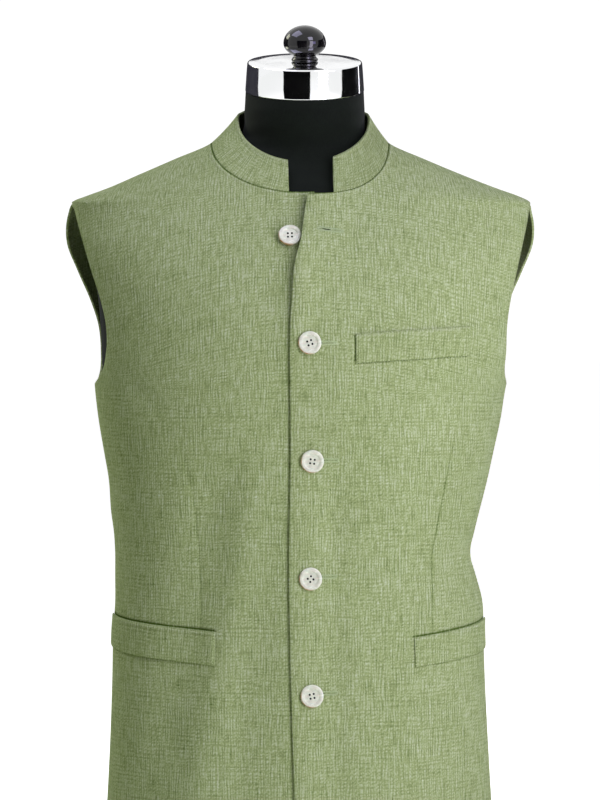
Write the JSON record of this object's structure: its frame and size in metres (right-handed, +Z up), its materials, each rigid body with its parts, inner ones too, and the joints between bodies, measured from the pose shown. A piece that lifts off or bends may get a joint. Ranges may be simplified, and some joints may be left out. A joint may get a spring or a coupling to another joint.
{
  "type": "nehru jacket on a limbless dress form",
  "caption": "Sleeveless linen nehru jacket with a stand collar, buttoned front and welt pockets, worn by a limbless dress form with a capped neck.",
  "frame": {"origin": "middle of the footprint, on the surface that the dress form stands on", "axes": "+Z up, the buttoned front faces -Y, +X towards the wearer's left"},
  "size_m": [0.4712, 0.2788, 0.8981],
  "materials": {
    "linen": "plain slub weave",
    "pearl": "polished shell",
    "form_cloth": "smooth black jersey",
    "chrome": "polished",
    "black_gloss": "polished"
  },
  "bodies": {
    "root": {"front_left": "linen", "front_right": "linen", "back": "linen", "collar": "linen", "chest_welt": "linen", "pocket_welt_right": "linen", "pocket_welt_left": "linen", "button_1": "pearl", "button_2": "pearl", "button_3": "pearl", "button_4": "pearl", "button_5": "pearl", "form_torso": "form_cloth", "neck_cap": "chrome", "cap_knob": "black_gloss"}
  },
  "joints": []
}
